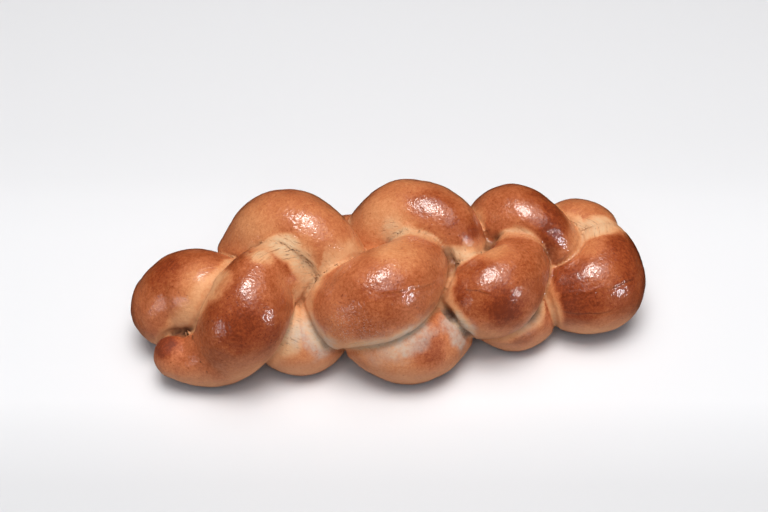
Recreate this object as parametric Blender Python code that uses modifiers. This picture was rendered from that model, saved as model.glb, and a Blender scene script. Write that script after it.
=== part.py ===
"""A braided loaf of four strands, baked as one piece.

It lies along X with its base on Z = 0 and the origin in the middle of the base.
Sizes are in millimetres up to the point where a route becomes a curve, in metres.
"""

import math
from collections import namedtuple

import bmesh
import bpy

MM = 0.001

SPINE_HEIGHT = 42.0  # the braid's middle line above the table, at mid length
SPINE_SAG = 0.0006  # the fall of that line towards both ends, per millimetre squared
TUCK = 13.0  # how far from the middle line a strand passes under the others
NECK = 20.0  # the strand's radius there
CORE = 24.0  # radius of the rod that fills the middle
SOLE = (120.0, 33.0, 20.0)  # half sizes of the dough that sags between the lowest lobes
SOLE_HEIGHT = 22.5  # its middle above the table
LOBE_DROP = 0.36  # how far a lobe's shoulders sink, as a share of its radius
UPPER_SHOULDER = 0.80  # the radius of the shoulder nearer +X, as a share of the lobe's
LOWER_SHOULDER = 0.87  # and of the other one
END_RINGS = 4  # rings that round off each end of a strand
STEPS = 8  # rings from one station of a route to the next
RING_RESOLUTION = 18  # 4 + 2 * 18 = 40 points round a strand
GRAIN = 1.5  # cell of the remesh that grows the strands together
TRIANGLES = 8800  # of the skin, before its underside is cut flat
CENTRE = (2.5, -3.0)  # the middle of the base, in the measures below

Lobe = namedtuple("Lobe", "along across up radius half slant")
Station = namedtuple("Station", "x y z radius")

# A lobe is where a strand rides over its neighbours: the place of its crown's centre,
# its radius, half its length, and its slant round the braid in degrees.
LOBES = {
    "top_front_1": Lobe(-96, -28, 53, 28, 25, 56),
    "top_front_2": Lobe(-9, -37, 59, 31, 22, 23),
    "top_front_3": Lobe(65, -37, 47, 28, 18, 22),
    "top_back_1": Lobe(-62, 30, 64, 30, 26, 42),
    "top_back_2": Lobe(21, 27, 62, 29, 26, 36),
    "top_back_3": Lobe(91, 20, 54, 27, 20, 46),
    "top_back_4": Lobe(136, 18, 40, 23, 15, 40),
    "low_front_1": Lobe(-60, -26, 23, 25, 20, 20),
    "low_front_2": Lobe(8, -47, 26, 28, 24, 15),
    "low_front_3": Lobe(82, -33, 23, 25, 18, 20),
    "low_back_1": Lobe(-84, 32, 23, 25, 20, 15),
    "low_back_2": Lobe(-8, 41, 26, 28, 22, 15),
    "low_back_3": Lobe(66, 37, 25, 27, 22, 15),
    "low_back_4": Lobe(131, 25, 22, 23, 14, 15),
}

# Each strand from +X to -X: its turn, then lobes by name, with stations where it ends
# or bends round an end of the braid.
STRANDS = {
    "strand_1": (1, ["low_back_4", "top_front_3", "low_back_2", "top_front_1",
                     Station(-121, -27, 22, 23), Station(-142, -22, 14, 13)]),
    "strand_2": (1, [Station(154, 15, 25, 17), Station(150, 4, 37, 21),
                     Station(139, -29, 32, 30), Station(113, -26, 28, 22),
                     "low_back_3", "top_front_2", "low_back_1", Station(-122, 18, 24, 17)]),
    "strand_3": (-1, [Station(148, 2, 20, 15), "top_back_4", "low_front_3", "top_back_2",
                      "low_front_1", Station(-94, -4, 40, 22), Station(-112, 4, 42, 26),
                      Station(-128, 12, 39, 30), Station(-140, 12, 31, 27)]),
    "strand_4": (-1, [Station(140, -14, 22, 14), "top_back_3", "low_front_2", "top_back_1",
                      Station(-98, 22, 28, 21), Station(-126, 8, 22, 15)]),
}


def clear_scene():
    for obj in list(bpy.data.objects):
        bpy.data.objects.remove(obj, do_unlink=True)


def spine_height(x):
    return SPINE_HEIGHT - SPINE_SAG * x * x


def lobe_stations(lobe, turn):
    """The upper shoulder, the crown and the lower shoulder of a lobe."""
    out_y = lobe.across
    out_z = lobe.up - spine_height(lobe.along)
    length = math.hypot(out_y, out_z)
    out_y /= length
    out_z /= length
    slant = math.radians(lobe.slant)
    along = lobe.half * math.cos(slant)
    around = lobe.half * math.sin(slant) * turn
    drop = LOBE_DROP * lobe.radius
    y = lobe.across - drop * out_y
    z = lobe.up - drop * out_z
    upper = Station(lobe.along + along, y + around * out_z, z - around * out_y,
                    lobe.radius * UPPER_SHOULDER)
    crown = Station(lobe.along, lobe.across, lobe.up, lobe.radius)
    lower = Station(lobe.along - along, y - around * out_z, z + around * out_y,
                    lobe.radius * LOWER_SHOULDER)
    return [upper, crown, lower]


def angle_round_spine(lobe):
    return math.atan2(lobe.up - spine_height(lobe.along), lobe.across)


def tucked_station(first, second, turn):
    """Where a strand dives under the others, halfway from one of its lobes to the next."""
    x = (first.along + second.along) / 2
    swing = ((angle_round_spine(second) - angle_round_spine(first)) * turn) % math.tau
    angle = angle_round_spine(first) + turn * swing / 2
    return Station(x, TUCK * math.cos(angle), spine_height(x) + TUCK * math.sin(angle), NECK)


def strand_stations(turn, stops):
    stations = []
    last = None
    for stop in stops:
        if isinstance(stop, Station):
            stations.append(stop)
            last = None
            continue
        lobe = LOBES[stop]
        if last:
            stations.append(tucked_station(last, lobe, turn))
        stations += lobe_stations(lobe, turn)
        last = lobe
    return stations


def smooth_route(stations):
    """A centripetal Catmull-Rom route through the stations, its radius smoothed likewise."""
    first = [2 * a - b for a, b in zip(stations[0], stations[1])]
    last = [2 * a - b for a, b in zip(stations[-1], stations[-2])]
    points = [first, *stations, last]
    route = []
    for before, start, end, after in zip(points, points[1:], points[2:], points[3:]):
        spans = [max(math.dist(p[:3], q[:3]), 1e-6) ** 0.5
                 for p, q in ((before, start), (start, end), (end, after))]
        for step in range(STEPS):
            route.append([eased(values, spans, step / STEPS)
                          for values in zip(before, start, end, after)])
    route.append(list(stations[-1]))
    return route


def eased(values, spans, t):
    """One coordinate at the share t of the way from the second value to the third."""
    before, start, end, after = values
    a, b, c = spans
    leaving = end - start + b * ((start - before) / a - (end - before) / (a + b))
    arriving = end - start + b * ((after - end) / c - (after - start) / (b + c))
    return ((2 * t**3 - 3 * t**2 + 1) * start + (t**3 - 2 * t**2 + t) * leaving
            + (3 * t**2 - 2 * t**3) * end + (t**3 - t**2) * arriving)


def rounded_ends(route):
    """The route with half-ball ends, as rings that shrink along its first and last directions."""
    def cap(end, inner):
        span = math.dist(end[:3], inner[:3])
        direction = [(a - b) / span for a, b in zip(end[:3], inner[:3])]
        rings = []
        for ring in range(1, END_RINGS + 1):
            angle = math.radians(84) * ring / END_RINGS
            reach = end[3] * math.sin(angle)
            place = [a + reach * d for a, d in zip(end[:3], direction)]
            rings.append([*place, end[3] * math.cos(angle)])
        return rings
    return cap(route[0], route[1])[::-1] + route + cap(route[-1], route[-2])


def tube_object(name, route, collection):
    """A closed mesh tube along a route, its radius changing from ring to ring."""
    route = rounded_ends(route)
    curve = bpy.data.curves.new(name + "_route", "CURVE")
    curve.dimensions = "3D"
    curve.twist_mode = "MINIMUM"
    curve.bevel_depth = MM
    curve.bevel_resolution = RING_RESOLUTION
    curve.use_fill_caps = True
    spline = curve.splines.new("POLY")
    spline.points.add(len(route) - 1)
    for point, (x, y, z, radius) in zip(spline.points, route):
        point.co = ((x - CENTRE[0]) * MM, (y - CENTRE[1]) * MM, z * MM, 1.0)
        point.radius = radius
    tube = bpy.data.objects.new(name + "_tube", curve)
    collection.objects.link(tube)
    graph = bpy.context.evaluated_depsgraph_get()
    mesh = bpy.data.meshes.new_from_object(tube.evaluated_get(graph))
    bpy.data.objects.remove(tube, do_unlink=True)
    closed = bmesh.new()
    closed.from_mesh(mesh)
    bmesh.ops.remove_doubles(closed, verts=closed.verts, dist=0.01 * MM)
    bmesh.ops.recalc_face_normals(closed, faces=closed.faces)
    closed.to_mesh(mesh)
    closed.free()
    solid = bpy.data.objects.new(name, mesh)
    collection.objects.link(solid)
    return solid


def table_cutter(collection):
    """A block whose top face is the table, which flattens the lobes that rest on it."""
    mesh = bpy.data.meshes.new("table_cutter")
    block = bmesh.new()
    bmesh.ops.create_cube(block, size=1.0)
    bmesh.ops.scale(block, vec=(0.6, 0.4, 0.1), verts=block.verts)
    bmesh.ops.translate(block, vec=(0, 0, -0.05), verts=block.verts)
    block.to_mesh(mesh)
    block.free()
    cutter = bpy.data.objects.new("table_cutter", mesh)
    cutter.hide_render = True
    cutter.display_type = "WIRE"
    collection.objects.link(cutter)
    return cutter


def apply_modifiers(obj):
    graph = bpy.context.evaluated_depsgraph_get()
    result = bpy.data.meshes.new_from_object(obj.evaluated_get(graph))
    obj.modifiers.clear()
    obj.data = result


def merge_dough(obj):
    """Grows overlapping strands into one skin, then thins its triangles out."""
    remesh = obj.modifiers.new("one_skin", "REMESH")
    remesh.mode = "VOXEL"
    remesh.voxel_size = GRAIN * MM
    apply_modifiers(obj)
    keep_outer_shell(obj)
    thin = obj.modifiers.new("thin_out", "DECIMATE")
    thin.ratio = TRIANGLES / len(obj.data.polygons)
    apply_modifiers(obj)


def cut_flat(obj, cutter):
    boolean = obj.modifiers.new("rest_on_table", "BOOLEAN")
    boolean.object = cutter
    boolean.operation = "DIFFERENCE"
    boolean.solver = "EXACT"
    apply_modifiers(obj)


def keep_outer_shell(obj):
    """Drops the shells of hollows shut in between the strands, as dough fills them."""
    mesh = bmesh.new()
    mesh.from_mesh(obj.data)
    unseen = set(mesh.verts)
    shells = []
    while unseen:
        start = unseen.pop()
        shell = [start]
        for vert in shell:
            for edge in vert.link_edges:
                other = edge.other_vert(vert)
                if other in unseen:
                    unseen.remove(other)
                    shell.append(other)
        shells.append(shell)
    shells.sort(key=len)
    for shell in shells[:-1]:
        bmesh.ops.delete(mesh, geom=shell, context="VERTS")
    bmesh.ops.triangulate(mesh, faces=mesh.faces)
    mesh.to_mesh(obj.data)
    mesh.free()


def crust_material():
    material = bpy.data.materials.new("crust")
    material.use_nodes = True
    shader = material.node_tree.nodes["Principled BSDF"]
    shader.inputs["Base Color"].default_value = (0.46, 0.16, 0.045, 1.0)
    shader.inputs["Roughness"].default_value = 0.35
    shader.inputs["Metallic"].default_value = 0.0
    return material


def core_object(collection):
    """A thick rod along the middle line, in place of the hollow that four strands leave."""
    stations = [Station(x, 0, spine_height(x) - 4, CORE) for x in range(-112, 121, 29)]
    return tube_object("core", smooth_route(stations), collection)


def sole_object(collection):
    """The dough that sags under the middle, as a long squashed ball."""
    mesh = bpy.data.meshes.new("sole")
    ball = bmesh.new()
    bmesh.ops.create_uvsphere(ball, u_segments=48, v_segments=24, radius=MM)
    bmesh.ops.scale(ball, vec=SOLE, verts=ball.verts)
    bmesh.ops.translate(ball, vec=(-CENTRE[0] * MM, -CENTRE[1] * MM, SOLE_HEIGHT * MM),
                        verts=ball.verts)
    ball.to_mesh(mesh)
    ball.free()
    sole = bpy.data.objects.new("sole", mesh)
    collection.objects.link(sole)
    return sole


def build_loaf(collection, cutters):
    pieces = [tube_object(name, smooth_route(strand_stations(turn, stops)), collection)
              for name, (turn, stops) in STRANDS.items()]
    pieces += [core_object(collection), sole_object(collection)]
    joined = bmesh.new()
    for piece in pieces:
        joined.from_mesh(piece.data)
        bpy.data.objects.remove(piece, do_unlink=True)
    mesh = bpy.data.meshes.new("loaf")
    joined.to_mesh(mesh)
    joined.free()
    loaf = bpy.data.objects.new("loaf", mesh)
    collection.objects.link(loaf)
    merge_dough(loaf)
    cut_flat(loaf, table_cutter(cutters))
    keep_outer_shell(loaf)
    loaf.data.materials.clear()
    loaf.data.materials.append(crust_material())
    loaf.data.shade_smooth()
    loaf.data.set_sharp_from_angle(angle=math.radians(40))
    return loaf


def main():
    clear_scene()
    braided_loaf = bpy.data.collections.new("braided_loaf")
    cutters = bpy.data.collections.new("cutters")
    cutters.hide_render = True
    bpy.context.scene.collection.children.link(braided_loaf)
    bpy.context.scene.collection.children.link(cutters)
    build_loaf(braided_loaf, cutters)


main()
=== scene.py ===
import math
import bmesh
import bpy
import numpy as np
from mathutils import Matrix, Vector, noise


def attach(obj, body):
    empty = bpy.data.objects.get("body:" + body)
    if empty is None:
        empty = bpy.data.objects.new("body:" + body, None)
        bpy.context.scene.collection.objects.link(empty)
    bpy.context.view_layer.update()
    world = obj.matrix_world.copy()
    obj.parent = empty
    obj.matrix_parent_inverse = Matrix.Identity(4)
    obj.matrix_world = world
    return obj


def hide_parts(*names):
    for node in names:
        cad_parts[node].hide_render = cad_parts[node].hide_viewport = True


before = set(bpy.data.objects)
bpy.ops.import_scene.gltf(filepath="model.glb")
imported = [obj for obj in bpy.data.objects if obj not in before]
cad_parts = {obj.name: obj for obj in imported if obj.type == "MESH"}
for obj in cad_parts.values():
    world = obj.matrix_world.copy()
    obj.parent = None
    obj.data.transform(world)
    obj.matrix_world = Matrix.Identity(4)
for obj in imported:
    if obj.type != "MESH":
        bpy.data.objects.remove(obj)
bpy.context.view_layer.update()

mm = 0.001

braid = {
    "spineHeight": 42.0,  # the middle line of the braid above the table, at mid length
    "spineSag": 0.0006,  # how it falls towards both ends, per mm squared
    "tuck": 13.0,  # distance from the middle line where a strand passes under
    "neck": 20.0,  # radius there
    "lobeDrop": 0.36,  # a lobe's shoulders sink this share of its radius
    "upperShoulder": 0.80,
    "lowerShoulder": 0.87,
    "core": 24.0,
    "sole": (120.0, 33.0, 20.0),
    "soleHeight": 22.5,
    "centre": (2.5, -3.0),
    "grain": 1.4,  # cell of the remesh, in mm
}

# crown of each lobe: along, across, up, radius, half length, slant in degrees
lobes = {
    "topFront1": (-96, -30, 51.5, 28, 22.5, 56),
    "topFront2": (-9, -37, 59, 31, 22, 23),
    "topFront3": (65, -37, 47, 28, 18, 22),
    "topBack1": (-62, 30, 64, 30, 26, 42),
    "topBack2": (21, 27, 62, 29, 26, 36),
    "topBack3": (91, 20, 54, 27, 20, 46),
    "topBack4": (136, 18, 40, 23, 15, 40),
    "lowFront1": (-60, -26, 23, 25, 20, 20),
    "lowFront2": (8, -47, 26, 28, 24, 15),
    "lowFront3": (82, -33, 23, 25, 18, 20),
    "lowBack1": (-84, 32, 23, 25, 20, 15),
    "lowBack2": (-8, 41, 26, 28, 22, 15),
    "lowBack3": (66, 37, 25, 27, 22, 15),
    "lowBack4": (131, 25, 22, 23, 14, 15),
}

# where strands turn round at the ends: x, y, z, radius
ends = {
    "tail": (-142, -25, 22, 14.5),
    "leftEnd": (-128, 12, 39, 30),
    "rightEnd": (139, -29, 32, 30),
}

# each strand from +X to -X: its turn, then lobes and ends by name or single stations
strands = [
    (1, ["lowBack4", "topFront3", "lowBack2", "topFront1", (-119, -27, 22, 22),
         (-132, -28, 20, 16), "tail"]),
    (1, [(154, 15, 25, 17), (150, 4, 37, 21), "rightEnd", (113, -26, 28, 22),
         "lowBack3", "topFront2", "lowBack1", (-122, 18, 24, 17)]),
    (-1, [(148, 2, 20, 15), "topBack4", "lowFront3", "topBack2", "lowFront1",
          (-94, -4, 40, 22), (-112, 1, 44, 28), "leftEnd", (-140, 12, 31, 27)]),
    (-1, [(140, -14, 22, 14), "topBack3", "lowFront2", "topBack1",
          (-98, 22, 28, 21), (-126, 8, 22, 15)]),
]


def spineAt(x):
    return braid["spineHeight"] - braid["spineSag"] * x * x


def lobeStations(lobe, turn):
    x, y, z, radius, half, slant = lobe
    outY, outZ = y, z - spineAt(x)
    size = math.hypot(outY, outZ)
    outY, outZ = outY / size, outZ / size
    along = half * math.cos(math.radians(slant))
    around = half * math.sin(math.radians(slant)) * turn
    drop = braid["lobeDrop"] * radius
    midY, midZ = y - drop * outY, z - drop * outZ
    return [
        (x + along, midY + around * outZ, midZ - around * outY, radius * braid["upperShoulder"]),
        (x, y, z, radius),
        (x - along, midY - around * outZ, midZ + around * outY, radius * braid["lowerShoulder"]),
    ]


def tuckedStation(first, second, turn):
    x = (first[0] + second[0]) / 2
    firstAngle = math.atan2(first[2] - spineAt(first[0]), first[1])
    secondAngle = math.atan2(second[2] - spineAt(second[0]), second[1])
    swing = ((secondAngle - firstAngle) * turn) % math.tau
    angle = firstAngle + turn * swing / 2
    return (x, braid["tuck"] * math.cos(angle), spineAt(x) + braid["tuck"] * math.sin(angle),
            braid["neck"])


def strandStations(turn, stops):
    stations, last = [], None
    for stop in stops:
        if stop not in lobes:
            stations.append(ends.get(stop, stop))
            last = None
            continue
        lobe = lobes[stop]
        if last:
            stations.append(tuckedStation(last, lobe, turn))
        stations += lobeStations(lobe, turn)
        last = lobe
    return stations


def smoothRoute(stations, steps):
    # centripetal Catmull-Rom through the stations, radius included
    points = np.array(stations, float)
    points = np.vstack([2 * points[0] - points[1], points, 2 * points[-1] - points[-2]])
    share = (np.arange(steps) / steps)[:, None]
    route = []
    for before, start, end, after in zip(points, points[1:], points[2:], points[3:]):
        a, b, c = (max(np.linalg.norm(q[:3] - p[:3]), 1e-6) ** 0.5
                   for p, q in ((before, start), (start, end), (end, after)))
        leaving = end - start + b * ((start - before) / a - (end - before) / (a + b))
        arriving = end - start + b * ((after - end) / c - (after - start) / (b + c))
        route.append((2 * share**3 - 3 * share**2 + 1) * start
                     + (share**3 - 2 * share**2 + share) * leaving
                     + (3 * share**2 - 2 * share**3) * end + (share**3 - share**2) * arriving)
    return np.vstack(route + [points[-2][None]])


def inFrame(route):
    moved = route.copy()
    moved[:, 0] -= braid["centre"][0]
    moved[:, 1] -= braid["centre"][1]
    return moved


def roundedEnds(route, rings=6):
    def cap(end, inner):
        direction = (end[:3] - inner[:3]) / np.linalg.norm(end[:3] - inner[:3])
        angles = np.radians(86) * np.arange(1, rings + 1) / rings
        return np.column_stack([end[:3] + end[3] * np.sin(angles)[:, None] * direction,
                                end[3] * np.cos(angles)])
    return np.vstack([cap(route[0], route[1])[::-1], route, cap(route[-1], route[-2])])


def tubeMesh(route):
    curve = bpy.data.curves.new("strandRoute", "CURVE")
    curve.dimensions = "3D"
    curve.bevel_depth = mm
    curve.bevel_resolution = 20
    curve.use_fill_caps = True
    spline = curve.splines.new("POLY")
    spline.points.add(len(route) - 1)
    for point, (x, y, z, radius) in zip(spline.points, route):
        point.co = (x * mm, y * mm, z * mm, 1)
        point.radius = radius
    tube = bpy.data.objects.new("strandTube", curve)
    bpy.context.scene.collection.objects.link(tube)
    mesh = bpy.data.meshes.new_from_object(tube.evaluated_get(
        bpy.context.evaluated_depsgraph_get()))
    bpy.data.objects.remove(tube, do_unlink=True)
    closed = bmesh.new()
    closed.from_mesh(mesh)
    bmesh.ops.remove_doubles(closed, verts=closed.verts, dist=0.01 * mm)
    bmesh.ops.recalc_face_normals(closed, faces=closed.faces)
    return closed


def joinedStrands(routes):
    # all strands, the core and the sagging sole in one mesh
    whole = bmesh.new()
    scrap = bpy.data.meshes.new("scrap")
    coreRoute = smoothRoute([(x, 0, spineAt(x) - 4, braid["core"]) for x in range(-112, 121, 29)], 6)
    for route in routes + [inFrame(coreRoute)]:
        piece = tubeMesh(roundedEnds(route[::4] if len(route) > 100 else route))
        piece.to_mesh(scrap)
        piece.free()
        whole.from_mesh(scrap)
    made = bmesh.ops.create_uvsphere(whole, u_segments=64, v_segments=32, radius=mm)["verts"]
    bmesh.ops.scale(whole, vec=braid["sole"], verts=made)
    bmesh.ops.translate(whole, vec=(-braid["centre"][0] * mm, -braid["centre"][1] * mm,
                                    braid["soleHeight"] * mm), verts=made)
    mesh = bpy.data.meshes.new("braidedLoaf")
    whole.to_mesh(mesh)
    whole.free()
    return mesh


def oneSkin(mesh):
    # a remesh grows the strands together, then only the outer shell is kept
    obj = bpy.data.objects.new("braidedLoaf", mesh)
    bpy.context.scene.collection.objects.link(obj)
    remesh = obj.modifiers.new("oneSkin", "REMESH")
    remesh.mode = "VOXEL"
    remesh.voxel_size = braid["grain"] * mm
    skin = bpy.data.meshes.new_from_object(obj.evaluated_get(
        bpy.context.evaluated_depsgraph_get()))
    obj.modifiers.clear()
    shell = bmesh.new()
    shell.from_mesh(skin)
    unseen = set(shell.verts)
    shells = []
    while unseen:
        group = [unseen.pop()]
        for vert in group:
            for edge in vert.link_edges:
                other = edge.other_vert(vert)
                if other in unseen:
                    unseen.remove(other)
                    group.append(other)
        shells.append(group)
    shells.sort(key=len)
    for group in shells[:-1]:
        bmesh.ops.delete(shell, geom=group, context="VERTS")
    shell.to_mesh(skin)
    shell.free()
    obj.data = skin
    return obj


def strandFrames(route):
    # arc length, tangent and two steady side directions at each point of a route
    places = route[:, :3]
    tangents = np.gradient(places, axis=0)
    tangents /= np.linalg.norm(tangents, axis=1)[:, None]
    lengths = np.concatenate([[0], np.cumsum(np.linalg.norm(np.diff(places, axis=0), axis=1))])
    side = np.cross(tangents[0], (0.1, 0.2, 1.0))
    sides = []
    for tangent in tangents:
        side = side - tangent * (side @ tangent)
        side = side / np.linalg.norm(side)
        sides.append(side)
    sides = np.array(sides)
    return lengths, tangents, sides, np.cross(tangents, sides)


def nearestOnRoute(points, route):
    # signed distance to the swept ball, and the index of the nearest point of the route
    places, radii = route[:, :3].astype(np.float32), route[:, 3].astype(np.float32)
    squares = (places**2).sum(1)
    gaps = np.empty(len(points), np.float32)
    near = np.empty(len(points), np.int32)
    for start in range(0, len(points), 8000):
        part = points[start:start + 8000].astype(np.float32)
        away = (part**2).sum(1)[:, None] + squares - 2 * part @ places.T
        away = np.sqrt(np.maximum(away, 0)) - radii
        near[start:start + 8000] = away.argmin(1)
        gaps[start:start + 8000] = away.min(1)
    return gaps, near


def fieldsAt(points, routes):
    found = [nearestOnRoute(points, route) for route in routes]
    return np.array([gap for gap, near in found]), np.array([near for gap, near in found])


def smoothStep(low, high, value):
    share = np.clip((value - low) / (high - low), 0, 1)
    return share * share * (3 - 2 * share)


def cloudAt(points, size, seed=0.0, octaves=3):
    # smooth noise from -1 to 1 with features of about that many mm
    shift = Vector((seed, 1.7 * seed, -2.3 * seed))
    return np.array([noise.fractal(Vector(point) / size + shift, 1.0, 2.0, octaves)
                     for point in points])


def meshPoints(mesh):
    flat = np.empty(len(mesh.vertices) * 3, np.float32)
    mesh.vertices.foreach_get("co", flat)
    return flat.reshape(-1, 3) / mm


def meshNormals(mesh):
    flat = np.empty(len(mesh.vertices) * 3, np.float32)
    mesh.vertices.foreach_get("normal", flat)
    return flat.reshape(-1, 3)


def setPoints(mesh, points):
    mesh.vertices.foreach_set("co", (points * mm).astype(np.float32).ravel())
    mesh.update()


def addValue(mesh, name, values):
    attribute = mesh.attributes.new(name, "FLOAT", "POINT")
    attribute.data.foreach_set("value", values.astype(np.float32))


def blended(gaps, width):
    # smooth union of the two nearest strands
    ordered = np.sort(gaps, axis=0)
    closeness = np.maximum(width - (ordered[1] - ordered[0]), 0) / width
    return ordered[0] - closeness**2 * width / 4


def soleGap(points):
    size = np.array(braid["sole"])
    centre = np.array((-braid["centre"][0], -braid["centre"][1], braid["soleHeight"]))
    scaled = (points - centre) / size
    length = np.linalg.norm(scaled, axis=1)
    return (length - 1) * length / np.maximum(np.linalg.norm(scaled / size, axis=1), 1e-6)


def direction(azimuth, elevation):
    # unit vector, azimuth 0 towards -Y and 90 towards +X
    a, e = math.radians(azimuth), math.radians(elevation)
    return Vector((math.sin(a) * math.cos(e), -math.cos(a) * math.cos(e), math.sin(e)))


def placeOn(name):
    # centre and radius of a lobe or an end
    x, y, z, radius = (lobes.get(name) or ends[name])[:4]
    return np.array((x - braid["centre"][0], y - braid["centre"][1], z)), radius


def patches(points, spots, warp=0.0):
    # sum of soft round patches: lobe, azimuth and elevation from its centre, reach in mm, amount
    total = np.zeros(len(points))
    for name, azimuth, elevation, reach, amount in spots:
        centre, radius = placeOn(name)
        spot = centre + radius * np.array(direction(azimuth, elevation))
        away = np.linalg.norm(points - spot, axis=1) / reach
        total += amount * (1 - smoothStep(0.35, 1.3, away + warp))
    return total


# how the strands meet: where the dough has run together, and where the crease is deep
seams = {
    "softness": 2.6,  # width of the rounding in a plain crease, in mm
    "runTogether": 11.0,  # more width where it has run together
    "groove": 2.6,  # depth of a sharp crease
    "grooveWidth": 2.1,
    "pitWidth": 0.7,  # how much wider the groove gets in a pit
    # the deepest places, where three lobes meet: x, y, z, reach, more depth
    "pits": [
        (33, -20, 69, 11, 3.0), (101, -26, 60, 12, 4.5), (66, 0, 65, 11, 2.0),
        (29, -44, 44, 9, 3.0), (88, -50, 39, 10, 2.5), (-142, -19, 36, 12, 1.5),
        (-57, -47, 27, 10, 1.5), (47, -53, 34, 10, 2.0),
    ],
    "joined": [
        ("topFront1", -64, 54, 15, 1.0), ("topFront1", -145, 60, 13, 0.9),
        ("topFront1", -75, 19, 12, 0.7), ("topBack1", -10, 28, 16, 0.8),
        ("topBack1", 29, 22, 15, 0.9), ("topFront1", 100, 20, 15, 0.9),
        ("topFront2", 165, 50, 14, 0.5), ("topBack2", -20, 27, 14, 0.6),
        ("topBack3", -24, 22, 9, 0.5), ("tail", 36, 40, 9, 0.8),
        ("topBack4", 30, 44, 18, 1.0), ("topFront3", -137, 38, 11, 1.0),
        ("topFront2", -115, 10, 17, 0.9), ("topFront2", -90, -20, 16, 0.7),
    ],
}

# uneven surface of the baked dough, in mm
unevenness = {
    "swell": 0.75,
    "swellSize": 24.0,
    "ripple": 0.22,
    "rippleSize": 7.0,
    "creaseSize": 3.5,
}

# fold lines left by rolling: lobe, azimuth and elevation of both ends, step in mm, and how dark the painted
# shade along the line is
folds = [
    ("topFront2", -12, 46, 78, 20, 0.35, 0.3),
    ("topFront3", -70, 36, -20, 44, 0.3, 0.5),
    ("rightEnd", -66, 14, 50, 34, 0.35, 0.7),
    ("rightEnd", -60, 4, 2, 12, 0.3, 0.6),
    ("topBack1", 5, 44, 60, 62, 0.2, 0.15),
]


def foldField(points, fold):
    # signed distance to the fold's plane, and how much of the fold is here
    name, azimuth, elevation, azimuth2, elevation2, step, dark = fold
    centre, radius = placeOn(name)
    start, end = (np.array(direction(*angles))
                  for angles in ((azimuth, elevation), (azimuth2, elevation2)))
    across = np.cross(start, end)
    across /= np.linalg.norm(across)
    middle = (start + end) / np.linalg.norm(start + end)
    offset = points - centre
    distance = offset @ across
    flat = offset - distance[:, None] * across
    length = np.maximum(np.linalg.norm(flat, axis=1), 1e-6)
    swing = np.degrees(np.arccos(np.clip((flat @ middle) / length, -1, 1)))
    half = math.degrees(math.acos(start @ end)) / 2
    here = (1 - smoothStep(half * 0.75, half * 1.1, swing)) * (length > radius * 0.6)
    here = here * (1 - smoothStep(radius * 1.5, radius * 1.9, length))
    return distance + 0.8 * np.sin(swing / 9), here


def pitShare(points):
    # 1 in the pits where three lobes meet, 0 away from them
    share = np.zeros(len(points))
    for *place, reach, more in seams["pits"]:
        share += 1 - smoothStep(0.4, 1.1, np.linalg.norm(points - place, axis=1) / reach)
    return np.clip(share, 0, 1)


def seamFields(points, routes):
    # own strand, distance to the seam with the next one, and which of the two lies on top
    gaps, near = fieldsAt(points, routes)
    order = gaps.argsort(axis=0)
    own, other = order[0], order[1]
    rows = np.arange(len(points))
    seam = gaps[other, rows] - gaps[own, rows]
    mine = np.empty((len(points), 3))
    theirs = np.empty((len(points), 3))
    for index, route in enumerate(routes):
        mine[own == index] = route[near[index][own == index], :3]
        theirs[other == index] = route[near[index][other == index], :3]
    middle = (mine + theirs) / 2
    spineX = points[:, 0] + braid["centre"][0]
    outward = np.column_stack([middle[:, 0] * 0, middle[:, 1] + braid["centre"][1],
                               middle[:, 2] - spineAt(spineX)])
    outward /= np.maximum(np.linalg.norm(outward, axis=1), 1e-6)[:, None]
    over = ((mine - theirs) * outward).sum(1)
    return gaps, near, own, seam, over


def shapeSkin(obj, routes):
    mesh = obj.data
    coreRoute = inFrame(smoothRoute([(x, 0, spineAt(x) - 4, braid["core"])
                                     for x in range(-112, 121, 29)], 6))
    points = meshPoints(mesh)
    joined = np.clip(patches(points, seams["joined"]), 0, 1)
    width = seams["softness"] + seams["runTogether"] * joined
    for turn in range(3):
        gaps, near = fieldsAt(points, routes + [coreRoute])
        gaps = np.vstack([gaps, soleGap(points)[None]])
        points -= meshNormals(mesh) * np.clip(blended(gaps, width), -2, 2)[:, None]
        setPoints(mesh, points)
    gaps, near, own, seam, over = seamFields(points, routes)
    depth = seams["groove"] * (1 - joined)
    for *place, reach, more in seams["pits"]:
        depth += more * (1 - smoothStep(0.4, 1.2, np.linalg.norm(points - place, axis=1) / reach))
    grooveWidth = seams["grooveWidth"] + seams["pitWidth"] * pitShare(points)
    relief = -depth * np.exp(-(seam / grooveWidth) ** 2)
    relief += unevenness["swell"] * cloudAt(points, unevenness["swellSize"], 3.0, 2)
    relief += unevenness["ripple"] * cloudAt(points, unevenness["rippleSize"], 11.0, 3)
    for fold in folds:
        distance, here = foldField(points, fold)
        here = here * (own == ownerOf(fold[0]))
        relief += fold[5] * here * (np.exp(-((distance - 1.1) / 1.3) ** 2)
                                    - 0.9 * np.exp(-((distance + 0.6) / 1.0) ** 2))
    pits = pitShare(points)
    # painted shade along the seams, stronger in the pits where three lobes meet and weaker where the dough
    # has run together
    crease = np.exp(-(seam / (grooveWidth * (0.75 + 0.35 * pits))) ** 2) * (0.25 + 0.75 * pits)
    addValue(mesh, "creviceShade", crease * np.maximum(1 - joined, pits))
    points += meshNormals(mesh) * relief[:, None]
    soft = 0.9
    points[:, 2] = (points[:, 2] + np.sqrt(points[:, 2] ** 2 + soft**2)) / 2
    points[:, 2] -= points[:, 2].min()
    setPoints(mesh, points)
    evenOut(mesh, np.flatnonzero(relief < -2.4))
    return near, own, seam, over


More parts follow.
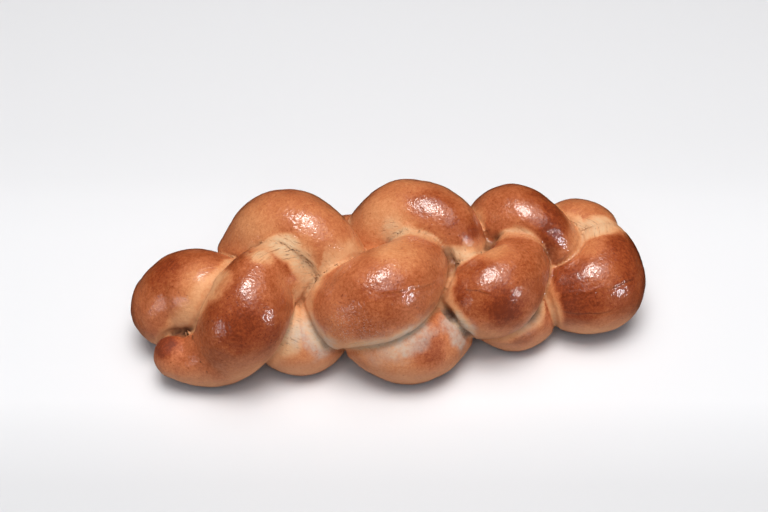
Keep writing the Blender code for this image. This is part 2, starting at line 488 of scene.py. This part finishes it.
def evenOut(mesh, chosen):
    # the deepest creases are smoothed, so that no face folds over another
    shell = bmesh.new()
    shell.from_mesh(mesh)
    shell.verts.ensure_lookup_table()
    deep = [shell.verts[index] for index in chosen]
    for turn in range(5):
        bmesh.ops.smooth_vert(shell, verts=deep, factor=0.5, use_axis_x=True, use_axis_y=True,
                              use_axis_z=True)
    shell.to_mesh(mesh)
    shell.free()


def ownerOf(name):
    # the strand that a lobe or an end belongs to
    return next(index for index, (turn, stops) in enumerate(strands) if name in stops)


routes = [inFrame(smoothRoute(strandStations(turn, stops), 40)) for turn, stops in strands]
loaf = oneSkin(joinedStrands(routes))
print("skin", len(loaf.data.vertices), "vertices")
seamMarks = shapeSkin(loaf, routes)
print("skin shaped")


# how the crust has baked: 0 is pale dough, 1 the darkest brown
baking = {
    "tones": {
        "leftEnd": 0.72, "tail": 0.70, "topFront1": 0.82, "topBack1": 0.60, "topFront2": 0.69,
        "topBack2": 0.58, "topFront3": 0.76, "topBack3": 0.70, "topBack4": 0.60,
        "rightEnd": 0.86, "lowFront1": 0.60, "lowFront2": 0.62, "lowFront3": 0.74,
        "lowBack1": 0.62, "lowBack2": 0.64, "lowBack3": 0.62, "lowBack4": 0.66,
    },
    # more spots, by place: x, y, z, reach, amount
    "places": [
        (-80, 56, 50, 16, 0.12), (-52, 48, 74, 18, 0.08), (5, 54, 60, 18, 0.14), (80, 46, 52, 16, 0.16),
        (-8, 62, 30, 16, 0.12), (66, 58, 26, 15, 0.08), (138, 34, 34, 14, 0.14), (-100, 48, 30, 14, -0.08),
        (30, 60, 50, 14, -0.08), (170, -20, 40, 14, 0.06), (165, 10, 30, 14, -0.10),
        (36, 14, 84, 16, 0.16), (50, 0, 78, 17, 0.22), (60, -4, 72, 12, 0.12), (-38, -60, 42, 12, -0.12),
        (114, -6, 73, 18, 0.16), (-69, -22, 70, 14, -0.06),
    ],
    "bottomTone": 0.86,  # where the loaf lay on the tray
    # paler foot: partly less baking, partly painted bounce light from the table
    "footTone": 0.48,
    "footHeight": 30.0,
    "spots": [
        ("leftEnd", -78, 60, 16, 0.12), ("leftEnd", -85, 84, 12, 0.08),
        ("leftEnd", 20, 50, 18, -0.22), ("leftEnd", -60, 6, 14, -0.06),
        ("tail", -80, 60, 10, 0.3), ("topFront1", 14, 0, 18, 0.04),
        ("topFront1", -20, 30, 14, 0.08), ("topFront1", -57, -15, 15, 0.02),
        ("topFront1", 125, 60, 18, -0.12), ("topFront1", 100, 30, 12, -0.12),
        ("topFront1", 20, 66, 12, -0.06), ("topFront1", -6, -48, 16, -0.16), ("topFront1", 5, 50, 13, 0.06),
        ("topBack1", 24, 49, 12, 0.06), ("topBack1", -65, 35, 20, -0.14),
        ("topBack1", 29, 26, 16, -0.18), ("topFront2", -20, 30, 22, 0.10),
        ("topFront2", 50, 40, 16, 0.05), ("topFront2", 120, 62, 20, -0.20), ("topFront2", 170, 54, 18, -0.06),
        ("topFront2", -10, -44, 16, -0.20), ("topFront2", 20, -24, 18, -0.12),
        ("topBack2", -60, 35, 20, -0.14), ("topBack2", 36, 29, 15, 0.10), ("topBack2", 40, 55, 13, 0.14),
        ("topBack2", -10, 24, 12, -0.08), ("topFront3", 0, 20, 16, 0.22),
        ("topFront3", 180, 52, 15, -0.22), ("topFront3", 155, 66, 14, -0.14), ("topFront3", -75, 20, 12, 0.10), ("topFront3", 60, 10, 12, 0.05),
        ("topFront3", -21, -16, 15, -0.12), ("topFront3", 50, -20, 16, -0.12), ("topBack3", 36, 20, 16, 0.26),
        ("topBack3", 60, 50, 14, 0.16), ("topBack3", -57, 34, 14, 0.0),
        ("rightEnd", -50, 16, 16, 0.08), ("rightEnd", -20, 62, 12, -0.14),
        ("rightEnd", -150, 60, 18, -0.28), ("rightEnd", -36, -22, 12, -0.16),
        ("rightEnd", 0, -18, 18, -0.18), ("rightEnd", 60, 60, 14, 0.0),
        ("lowFront2", 14, 28, 12, 0.22), ("lowFront3", -17, 9, 16, 0.20),
        ("tail", -100, 20, 14, 0.08),
    ],
}

# pale dough beside the seams, where the lower strand was covered while it rose
paleDough = {
    "width": 6.5,  # on the lower strand, in mm
    "rim": 1.0,  # on the upper strand
    "level": 0.34,
    "creamLevel": 0.08,
    # wider webs: x, y, z and reach in mm, extra width, share on the upper strand, how creamy
    "webs": [
        (-84, -4, 88, 14, 9, 2.7, 0.6), (-69, -3, 84, 13, 9, 2.1, 1.0),
        (-94, 12, 76, 12, 8, 0.5, 0.5), (-59, -10, 74, 13, 9, 0.8, 0.8),
        (-60, -22, 60, 13, 10, 1.0, 0.3), (-64, -34, 48, 12, 9, 0.6, 0.4),
        (-50, -40, 42, 14, 8, 0.9, 0.4), (-53, -10, 63, 13, 3, 1.0, 0.6),
        (-45, -9, 76, 16, 10, 0.3, 0.25), (-29, 0, 83, 12, 7, 0.2, 0.2),
        (3, 9, 78, 18, 11, 0.2, 0.7), (-14, 16, 70, 14, 8, 0.2, 0.5), (22, -6, 80, 13, 5, 0.1, 0.4),
        (46, -15, 68, 12, 9, 0.6, 0.6), (60, -7, 70, 11, 3, 0.2, 0.4), (82, -8, 70, 16, 4, 0.4, 0.3),
        (128, -8, 61, 18, 10, 0.0, 0.25), (139, 0, 62, 14, 6, 0.8, 0.6),
        (112, -21, 58, 13, 9, 0.0, 0.1), (98, -37, 50, 12, 5, 0.2, 0.05),
        (95, -47, 35, 12, 5, 0.2, 0.2), (34, -35, 58, 14, 11, 0.5, 0.1), (33, -43, 46, 12, 9, 0.4, 0.2),
        (-110, -22, 76, 17, 18, 1.0, 0.15), (-120, -20, 66, 16, 14, 0.8, 0.1),
        (-134, -14, 46, 15, 12, 0.4, 0.15),
        (-67, -43, 42, 16, 7, 0.1, 0.7), (-54, -46, 32, 12, 6, 0.1, 0.6),
        (-95, 36, 52, 16, 8, 0.2, 0.4), (-34, 44, 62, 18, 9, 0.2, 0.6), (-40, 50, 38, 14, 6, 0.2, 0.3),
        (52, 40, 60, 18, 8, 0.2, 0.5), (34, 52, 40, 14, 6, 0.2, 0.4), (110, 34, 50, 15, 8, 0.3, 0.5),
        (100, 44, 30, 14, 6, 0.2, 0.3), (-25, -60, 42, 14, 4, 0.0, 0.9), (-4, -64, 45, 14, 4, 0.0, 0.9),
        (12, -58, 49, 12, 3, 0.0, 0.6), (32, -54, 40, 14, 9, 0.0, 0.9),
    ],
    # pale hollows between three strands: x, y, z, reach, share
    "hollows": [(-54, -14, 62, 13, 1.0), (-58, -24, 54, 10, 0.9), (2, 8, 77, 10, 0.8),
                (-60, -5, 78, 10, 0.8), (-83, -9, 86, 9, 0.9)],
    # where a strand stays brown right up to the seam: lobe, x, y, z, reach, share
    "browned": [
        ("topBack3", 113, -14, 61, 22, 1.0), ("topBack2", 54, -4, 72, 15, 0.6),
        ("rightEnd", 97, -36, 52, 18, 0.35), ("topFront2", 30, -22, 66, 26, 0.6),
        ("topFront3", 80, -22, 66, 26, 0.6),
    ],
    # where the egg wash was brushed thinly: lobe, azimuth, elevation, reach, share
    "unwashed": [
        ("lowFront1", 0, 10, 36, 1.0), ("lowFront2", 0, 20, 40, 1.0), ("lowFront3", 0, 10, 36, 1.0),
        ("topFront2", -60, -10, 26, 0.6), ("tail", -60, 60, 24, 1.0),
    ],
    "floury": [
        ("lowFront1", 10, 40, 16, 1.0), ("lowFront1", 60, 30, 14, 1.0), ("lowFront2", -50, 40, 18, 0.7),
        ("lowFront2", -10, 48, 16, 0.9), ("lowFront2", 67, 14, 15, 1.0), ("lowFront2", 72, 20, 14, 2.0), ("lowFront3", -5, 36, 12, 0.6),
    ],
    "specked": [("topFront2", -45, -12, 22, 1.0), ("topFront2", 0, -30, 18, 0.8)],
}


def bakedTone(points, normals, own, routes):
    # tone of the nearest lobes of the same strand, then the foot and the spots
    tone = np.zeros(len(points))
    weight = np.full(len(points), 1e-6)
    for name, level in baking["tones"].items():
        centre, radius = placeOn(name)
        share = np.exp(-(np.linalg.norm(points - centre, axis=1) / 24) ** 2)
        share *= own == ownerOf(name)
        tone += share * level
        weight += share
    tone = (tone + 1e-6 * 0.65) / weight
    tone += 0.06 * normals[:, 2]
    # low crust and faces turned downwards are paler: partly less baking near the tray, partly painted bounce
    # light from the white table
    foot = 1 - smoothStep(baking["footHeight"] * 0.3, baking["footHeight"], points[:, 2])
    foot = np.maximum(foot, 1 - smoothStep(-0.75, 0.0, normals[:, 2]))
    tone += (np.minimum(tone, baking["footTone"]) - tone) * foot * 0.8
    tone += (baking["bottomTone"] - tone) * (1 - smoothStep(-0.85, -0.45, normals[:, 2]))
    warp = 0.15 * cloudAt(points, 14.0, 5.0, 3)
    for *place, reach, amount in baking["places"]:
        away = np.linalg.norm(points - place, axis=1) / reach
        tone += amount * (1 - smoothStep(0.35, 1.3, away + warp))
    return tone + patches(points, baking["spots"], warp)


def markSkin(obj, routes, near, own, seam, over):
    mesh = obj.data
    points, normals = meshPoints(mesh), meshNormals(mesh)
    tone = bakedTone(points, normals, own, routes)
    wobble = cloudAt(points, 9.0, 21.0, 3)
    under = 1 - smoothStep(-4.0, 3.0, over)
    width = paleDough["width"] * under + paleDough["rim"] * (1 - under)
    cream = np.zeros(len(points))
    wider = np.zeros(len(points))
    for *place, reach, extra, shared, creamy in paleDough["webs"]:
        away = np.linalg.norm(points - place, axis=1) / reach
        here = 1 - smoothStep(0.4, 1.3, away + 0.15 * wobble)
        wider = np.maximum(wider, extra * here * (under + shared * (1 - under)))
        cream = np.maximum(cream, creamy * here)
    width = (width + wider) * (1 + 0.3 * wobble)
    pale = 1 - smoothStep(0.3, 1.35, seam / width)
    for *place, reach, share in paleDough["hollows"]:
        away = np.linalg.norm(points - place, axis=1) / reach
        pale = np.maximum(pale, share * (1 - smoothStep(0.3, 1.3, away + 0.15 * wobble)))
    for name, *place, reach, share in paleDough["browned"]:
        here = 1 - smoothStep(0.5, 1.1, np.linalg.norm(points - place, axis=1) / reach)
        pale = pale * (1 - share * here * (own == ownerOf(name)))
    level = paleDough["level"] + (paleDough["creamLevel"] - paleDough["level"]) * cream
    tone += (np.minimum(level, tone) - tone) * pale
    addValue(mesh, "bake", np.clip(tone, 0, 1))
    # paler tan low down and on faces turned downwards: partly less-baked dough near the tray, partly painted
    # bounce light from the white table
    low = 1 - smoothStep(8.0, 34.0, points[:, 2] + 5 * wobble)
    facingDown = 1 - smoothStep(-0.5, 0.25, normals[:, 2])
    bottom = 1 - smoothStep(-0.85, -0.45, normals[:, 2])
    addValue(mesh, "paleLowAndPaintedBounce", np.clip(0.6 * low + 0.7 * facingDown, 0, 1) * (1 - bottom))
    addValue(mesh, "stretched", pale * cream)
    floury = patches(points, paleDough["floury"], 0.25 * wobble)
    floury *= 1 - smoothStep(7.0, 16.0, seam + 3 * wobble)
    addValue(mesh, "floury", np.clip(floury, 0, 1))
    addValue(mesh, "specked", np.clip(patches(points, paleDough["specked"]), 0, 1))
    addValue(mesh, "unwashed", np.clip(patches(points, paleDough["unwashed"]), 0, 1))
    # painted shade along the fold lines, on browned crust only
    foldLine = np.full(len(points), 50.0)
    foldShade = np.zeros(len(points))
    for fold in folds:
        distance, here = foldField(points, fold)
        here = here * (own == ownerOf(fold[0])) * (1 - pale)
        foldLine = np.where(here > 0.02, distance, foldLine)
        foldShade = np.where(here > 0.02, here * fold[6], foldShade)
    addValue(mesh, "foldLine", foldLine)
    addValue(mesh, "foldShade", foldShade)
    addStrandPlace(mesh, points, near, own, routes)


def addStrandPlace(mesh, points, near, own, routes):
    # each face corner's place along and across its own strand, for marks that run with the dough
    corners = np.empty(len(mesh.loops), np.int32)
    mesh.loops.foreach_get("vertex_index", corners)
    starts = np.empty(len(mesh.polygons), np.int32)
    totals = np.empty(len(mesh.polygons), np.int32)
    mesh.polygons.foreach_get("loop_start", starts)
    mesh.polygons.foreach_get("loop_total", totals)
    owner = np.repeat(own[corners[starts]], totals)
    place = np.zeros((len(corners), 3))
    for index, route in enumerate(routes):
        lengths, tangents, sides, others = strandFrames(route)
        mine = owner == index
        at = near[index][corners[mine]]
        offset = points[corners[mine]] - route[at, :3]
        place[mine] = np.column_stack([lengths[at] + (offset * tangents[at]).sum(1) + 700 * index,
                                       (offset * sides[at]).sum(1), (offset * others[at]).sum(1)])
    attribute = mesh.attributes.new("strandPlace", "FLOAT_VECTOR", "CORNER")
    attribute.data.foreach_set("vector", (place * mm).astype(np.float32).ravel())


markSkin(loaf, routes, *seamMarks)
print("baking marks set")


# colours in plain 0-255 steps, from pale dough to dark crust
crust = {
    "steps": [
        (0.00, (214, 176, 138)), (0.12, (222, 170, 126)), (0.30, (223, 158, 110)),
        (0.46, (214, 141, 92)), (0.60, (201, 121, 75)), (0.72, (184, 101, 61)),
        (0.83, (160, 79, 41)), (0.92, (143, 62, 30)), (1.00, (118, 48, 22)),
    ],
    "cream": (204, 170, 134),
    "fibre": (206, 150, 106),
    "crack": (112, 78, 54),
    "flour": (196, 186, 172),
    # pale tan for low and downward-facing crust: partly less baking, partly painted bounce light
    "paleLowAndPaintedBounce": (206, 156, 122),
    "paleLowAndPaintedBounceShare": 0.45,
    # colour of the painted shade in fold lines, creases and pits
    "deep": (64, 27, 12),
    "mottle": 0.30,
    "blotch": 0.38,
    "grain": 0.24,
    "pores": 0.16,
    "gloss": 0.24,  # roughness of the egg wash
    "matt": 0.60,  # roughness of dry dough
}


def linearColour(colour):
    steps = [value / 255 for value in colour]
    return tuple(v / 12.92 if v <= 0.04045 else ((v + 0.055) / 1.055) ** 2.4 for v in steps) + (1,)


def crustMaterial():
    material = bpy.data.materials.new("eggWashedCrust")
    material.use_nodes = True
    tree = material.node_tree
    shader = tree.nodes["Principled BSDF"]

    def add(kind, values=None, **settings):
        node = tree.nodes.new("ShaderNode" + kind)
        for name, value in settings.items():
            setattr(node, name, value)
        for socket, value in (values or {}).items():
            if isinstance(value, bpy.types.NodeSocket):
                tree.links.new(value, node.inputs[socket])
            else:
                node.inputs[socket].default_value = value
        return node

    def math2(operation, first, second=0.0, third=0.0):
        return add("Math", {0: first, 1: second, 2: third}, operation=operation).outputs[0]

    def mask(value, low, high):
        return add("MapRange", {0: value, 1: low, 2: high}, interpolation_type="SMOOTHSTEP").outputs[0]

    def mark(name):
        return add("Attribute", attribute_name=name).outputs["Fac"]

    def cloud(place, sizeMm, detail=2.0, rough=0.5):
        return add("TexNoise", {"Vector": place, "Scale": 1000 / sizeMm, "Detail": detail,
                                "Roughness": rough}).outputs["Fac"]

    def layer(share, first, second, kind="MIX"):
        node = add("Mix", {0: share, 6: first, 7: second}, data_type="RGBA", blend_type=kind)
        return node.outputs[2]

    whole = add("TexCoord").outputs["Object"]
    strandPlace = add("Attribute", attribute_name="strandPlace").outputs["Vector"]
    along = add("VectorMath", {0: strandPlace, 1: (0.16, 1.0, 1.0)}, operation="MULTIPLY").outputs[0]

    # tone of the crust with mottling, blotches and pores
    mottle = cloud(whole, 13, 4, 0.6)
    blotch = cloud(whole, 2.0, 3, 0.6)
    poreSpread = add("TexVoronoi", {"Vector": whole, "Scale": 1000 / 2.4, "Randomness": 1.0})
    pores = math2("MULTIPLY", mask(poreSpread.outputs["Distance"], 0.30, 0.12),
                  mask(cloud(whole, 6, 2), 0.50, 0.62))
    tone = math2("MULTIPLY_ADD", math2("SUBTRACT", mottle, 0.5), crust["mottle"], mark("bake"))
    tone = math2("MULTIPLY_ADD", math2("SUBTRACT", blotch, 0.5), crust["blotch"], tone)
    grain = cloud(whole, 0.8, 2, 0.6)
    tone = math2("MULTIPLY_ADD", math2("SUBTRACT", grain, 0.5), crust["grain"], tone)
    tone = math2("MULTIPLY_ADD", pores, crust["pores"], tone)
    ramp = add("ValToRGB", {"Fac": tone})
    for position, colour in crust["steps"][1:-1]:
        ramp.color_ramp.elements.new(position)
    for element, (position, colour) in zip(ramp.color_ramp.elements, crust["steps"]):
        element.position = position
        element.color = linearColour(colour)
    colour = ramp.outputs["Color"]

    # stretched dough with fine tears that run along the strand
    tears = mask(cloud(along, 1.4, 3, 0.6), 0.43, 0.34)
    fibres = cloud(along, 2.4, 4, 0.7)
    doughTone = layer(mask(fibres, 0.62, 0.36), linearColour(crust["cream"]),
                      linearColour(crust["fibre"]))
    doughTone = layer(tears, doughTone, linearColour(crust["crack"]))
    stretched = math2("MULTIPLY", mark("stretched"), 0.8)
    colour = layer(stretched, colour, doughTone)
    # paler low and downward-facing crust: partly less baking, partly painted bounce light
    colour = layer(math2("MULTIPLY", mark("paleLowAndPaintedBounce"), crust["paleLowAndPaintedBounceShare"]), colour, linearColour(crust["paleLowAndPaintedBounce"]))
    flour = math2("MULTIPLY", mark("floury"), mask(cloud(whole, 3.4, 4, 0.6), 0.05, 0.72))
    specks = math2("MULTIPLY", mark("specked"), mask(cloud(whole, 0.9, 2, 0.5), 0.56, 0.68))
    flour = math2("MAXIMUM", flour, math2("MULTIPLY", specks, 0.6))
    colour = layer(math2("MULTIPLY", flour, 0.68), colour, linearColour(crust["flour"]))

    # painted shade along the fold lines, and in the deep creases and pits
    foldCore = mask(math2("ABSOLUTE", mark("foldLine")), 0.75, 0.1)
    folded = math2("MULTIPLY", foldCore, mark("foldShade"))
    colour = layer(math2("MULTIPLY", folded, 0.5), colour, linearColour(crust["deep"]))
    colour = layer(math2("MULTIPLY", mark("creviceShade"), 0.95), colour, linearColour(crust["deep"]))
    tree.links.new(colour, shader.inputs["Base Color"])

    # the egg wash shines on browned crust, the pale dough stays dry
    washed = mask(tone, 0.34, 0.62)
    dulled = math2("MAXIMUM", math2("MULTIPLY", flour, 0.7), math2("MULTIPLY", mark("paleLowAndPaintedBounce"), 0.9))
    dulled = math2("MAXIMUM", dulled, math2("MAXIMUM", mark("unwashed"), mark("creviceShade")))
    washed = math2("MULTIPLY", washed, math2("SUBTRACT", 1.0, dulled))
    roughness = add("MapRange", {0: washed, 3: crust["matt"], 4: crust["gloss"] + 0.12}).outputs[0]
    tree.links.new(roughness, shader.inputs["Roughness"])
    tree.links.new(math2("MULTIPLY", washed, 0.95), shader.inputs["Coat Weight"])
    shader.inputs["Coat Roughness"].default_value = 0.06
    shader.inputs["Coat IOR"].default_value = 1.55
    shader.inputs["Specular IOR Level"].default_value = 0.25

    # fine crinkle of the skin
    crinkle = cloud(whole, 1.9, 2, 0.5)
    height = math2("ADD", math2("MULTIPLY", crinkle, 1.3), math2("MULTIPLY", grain, 0.26))
    height = math2("SUBTRACT", height, math2("MULTIPLY", pores, 0.25))
    rough = math2("SUBTRACT", math2("MULTIPLY", fibres, 2.2), math2("MULTIPLY", tears, 1.1))
    height = math2("MULTIPLY_ADD", rough, mark("stretched"), height)
    height = math2("SUBTRACT", height, math2("MULTIPLY", folded, 0.8))
    bump = add("Bump", {"Height": height, "Distance": 0.0004, "Strength": 0.7}).outputs["Normal"]
    tree.links.new(bump, shader.inputs["Normal"])
    tree.links.new(bump, shader.inputs["Coat Normal"])
    return material


loaf.data.materials.clear()
loaf.data.materials.append(crustMaterial())
loaf.data.shade_smooth()
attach(loaf, "root")
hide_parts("loaf")
print("loaf dressed")

studio = {
    "target": (-0.0025, 0.003, 0.060),
    "azimuth": -12.0,
    "elevation": 42.0,
    "distance": 1.0,
    "lens": 71.72,
    "air": 0.10,
    "airColour": (0.66, 0.84, 1.0),
    # azimuth, elevation, distance, size in metres, watts, colour, then what it does: "both",
    # only "fill" the loaf's shade, only light the "table", or only "shine" in the glaze
    "lights": {
        "overheadLamp": (-115, 81, 2.2, 0.7, 30, (1.0, 0.985, 0.95), "shine"),
        "overheadFill": (-20, 86, 2.2, 0.8, 21, (1.0, 0.975, 0.935), "fill"),
        "overheadSheet": (0, 89, 2.2, 2.2, 19, (1.0, 0.99, 0.98), "both"),
        "frontSheet": (12, 55, 2.0, 1.5, 20, (0.91, 0.97, 1.0), "fill"),
        "leftSheet": (-100, 30, 2.0, 1.2, 4, (1.0, 0.985, 0.97), "fill"),
        "tableSheet": (-12, 80, 2.2, 1.2, 28, (0.96, 0.975, 0.99), "table"),
        "tableFront": (-16, 52, 2.0, 1.6, 13, (0.88, 0.96, 1.0), "table"),
        "sideWindow": (46, 18, 1.5, 0.21, 7, (0.88, 0.95, 1.0), "shine"),
        "farWindow": (-66, 11, 1.5, 0.22, 1.6, (0.88, 0.94, 1.0), "shine"),
    },
    # floor: a painted pool of light, brightest round the loaf and darker to the front and back; distance
    # towards the back in metres, share of white
    "floorPaintedLight": [(-0.20, 0.81), (-0.14, 0.83), (-0.095, 0.92), (-0.07, 0.985), (0.09, 1.0),
                   (0.13, 0.985), (0.16, 0.955), (0.21, 0.94), (0.40, 0.94)],
    "floorWhite": (0.832, 0.804, 0.800),
}


def aimed(obj, place, target):
    obj.location = place
    obj.rotation_euler = (Vector(target) - Vector(place)).to_track_quat("-Z", "Y").to_euler()
    bpy.context.scene.collection.objects.link(obj)


def hangLights(floor):
    target = Vector((0, 0, 0.04))
    for name, (azimuth, elevation, distance, size, watts, colour, duty) in studio["lights"].items():
        light = bpy.data.lights.new(name, "AREA")
        light.shape = "DISK"
        light.size = size
        light.energy = watts
        light.color = colour
        lamp = bpy.data.objects.new(name, light)
        aimed(lamp, target + direction(azimuth, elevation) * distance, target)
        lamp.visible_glossy = duty in ("both", "shine")
        lamp.visible_diffuse = duty != "shine"
        if duty in ("fill", "table"):
            lit = bpy.data.collections.new(name + "Lit")
            lit.objects.link(loaf if duty == "fill" else floor)
            lamp.light_linking.receiver_collection = lit


def layFloor():
    bpy.ops.mesh.primitive_plane_add(size=12, location=(0, 0, -0.0002),
                                     rotation=(0, 0, math.radians(studio["azimuth"])))
    floor = bpy.context.object
    floor.name = "studioFloor"
    material = bpy.data.materials.new("whiteTable")
    material.use_nodes = True
    tree = material.node_tree
    place = tree.nodes.new("ShaderNodeTexCoord")
    split = tree.nodes.new("ShaderNodeSeparateXYZ")
    reach = tree.nodes.new("ShaderNodeMapRange")
    ramp = tree.nodes.new("ShaderNodeValToRGB")
    # the floor's colour carries a painted pool of light, brightest round the loaf
    tones = studio["floorPaintedLight"]
    low, high = tones[0][0], tones[-1][0]
    reach.inputs[1].default_value, reach.inputs[2].default_value = low, high
    for tone in tones[1:-1]:
        ramp.color_ramp.elements.new((tone[0] - low) / (high - low))
    for element, (distance, share) in zip(ramp.color_ramp.elements, tones):
        element.position = (distance - low) / (high - low)
        element.color = (*[share * white for white in studio["floorWhite"]], 1)
    tree.links.new(place.outputs["Object"], split.inputs[0])
    tree.links.new(split.outputs["Y"], reach.inputs[0])
    tree.links.new(reach.outputs[0], ramp.inputs[0])
    shader = tree.nodes["Principled BSDF"]
    tree.links.new(ramp.outputs["Color"], shader.inputs["Base Color"])
    shader.inputs["Roughness"].default_value = 0.9
    shader.inputs["Specular IOR Level"].default_value = 0.0
    floor.data.materials.append(material)
    floor.visible_glossy = False
    return floor


hangLights(layFloor())
world = bpy.data.worlds.new("studioAir")
bpy.context.scene.world = world
world.use_nodes = True
world.node_tree.nodes["Background"].inputs["Color"].default_value = (*studio["airColour"], 1)
world.node_tree.nodes["Background"].inputs["Strength"].default_value = studio["air"]
world.cycles_visibility.glossy = False

camera = bpy.data.objects.new("camera", bpy.data.cameras.new("camera"))
camera.data.lens = studio["lens"]
camera.data.sensor_width = 36
target = Vector(studio["target"])
aimed(camera, target + direction(studio["azimuth"], studio["elevation"]) * studio["distance"], target)
bpy.context.scene.camera = camera
bpy.context.scene.view_settings.view_transform = "Standard"
print("studio set")
